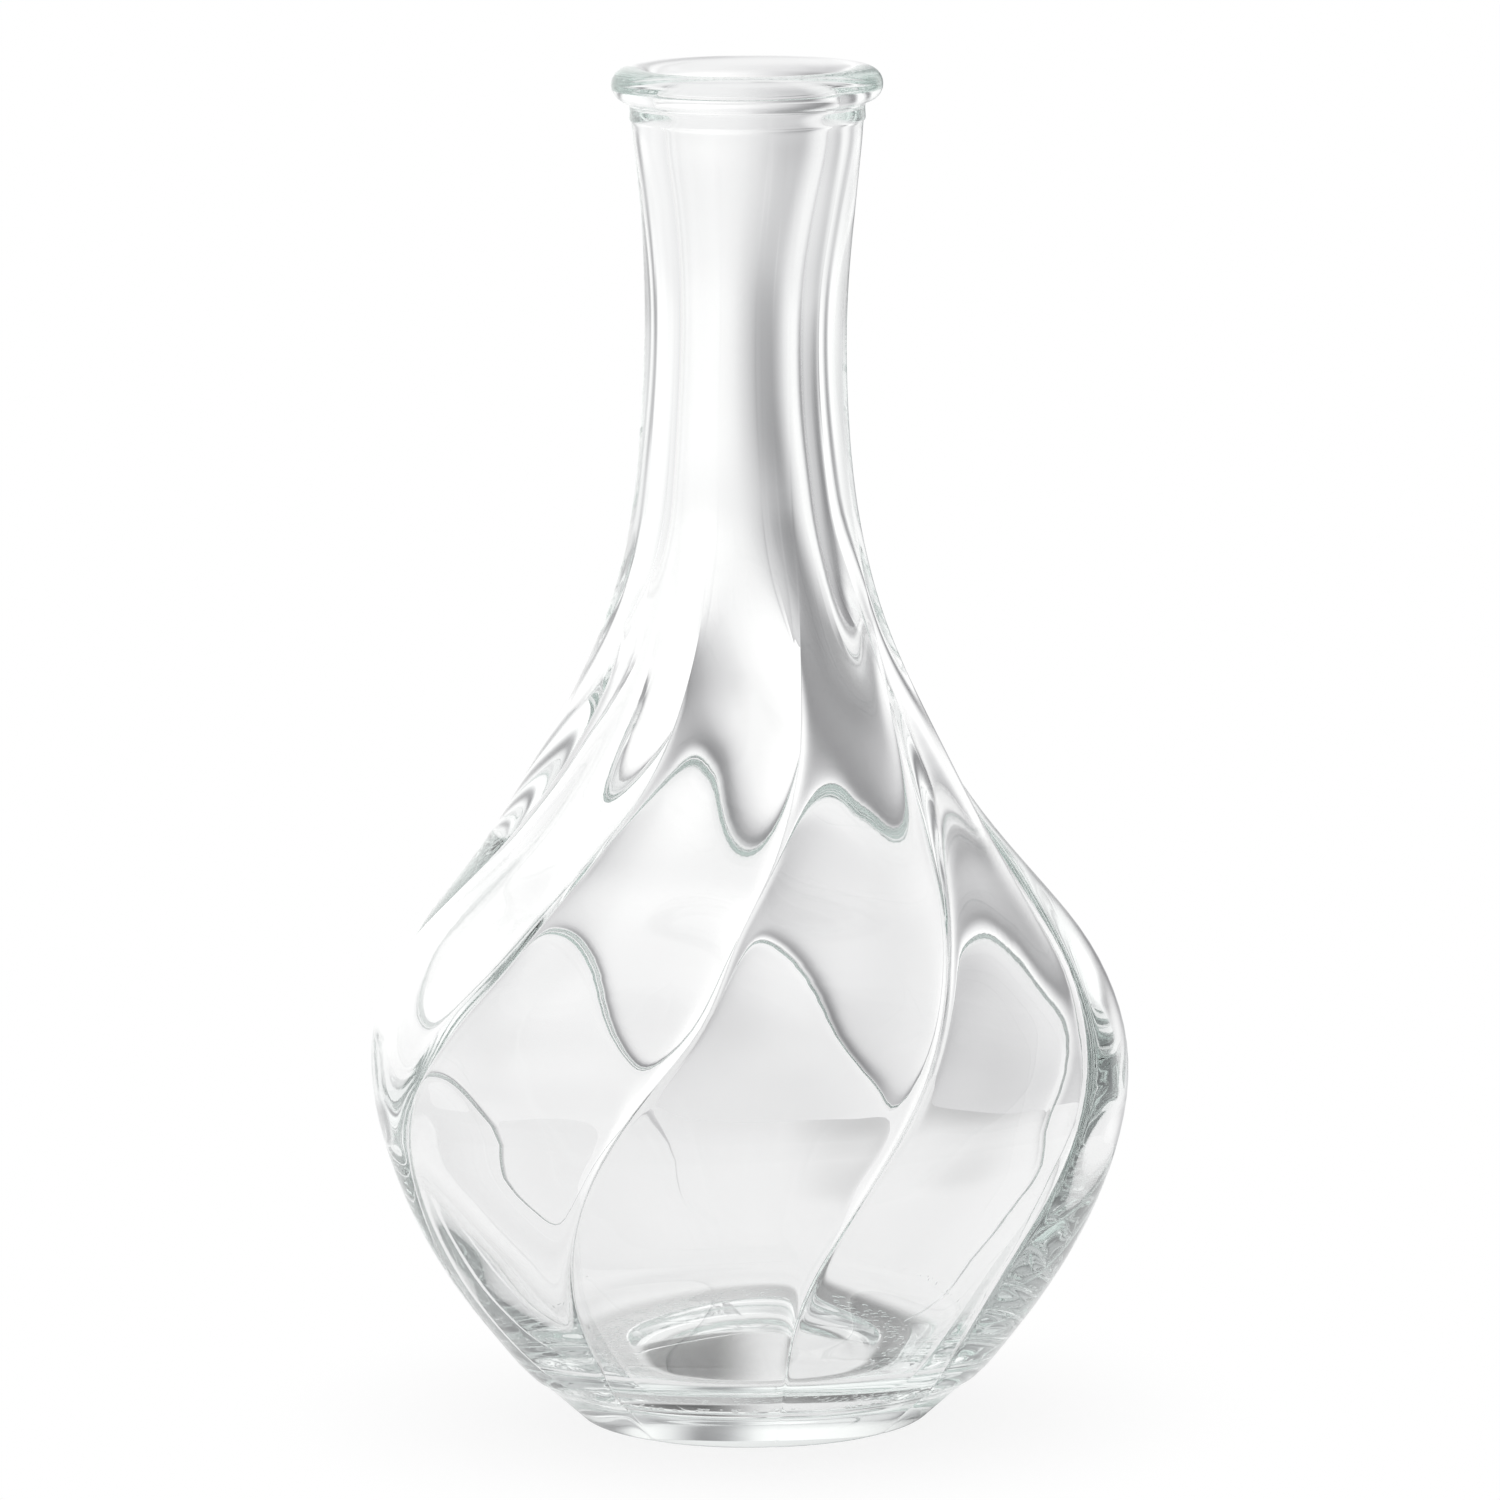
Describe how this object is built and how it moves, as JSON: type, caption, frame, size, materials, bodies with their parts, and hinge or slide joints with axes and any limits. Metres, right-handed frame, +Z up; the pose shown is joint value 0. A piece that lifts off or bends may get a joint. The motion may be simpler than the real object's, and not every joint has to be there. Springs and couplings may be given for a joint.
{
  "type": "bottle vase",
  "caption": "Clear moulded glass bottle vase with a round belly of swirled lobes, a slender neck, a beaded lip and a plain conical foot.",
  "frame": {"origin": "centre of the ring that the vase stands on", "axes": "+Z up along the axis of the neck and belly, -Y towards the front of the picture"},
  "size_m": [0.1004, 0.1004, 0.18],
  "materials": {
    "clear_glass": "clear pressed glass, fire-polished, faint green tint where it is thick"
  },
  "bodies": {
    "root": {"glass_vase": "clear_glass"}
  },
  "joints": []
}
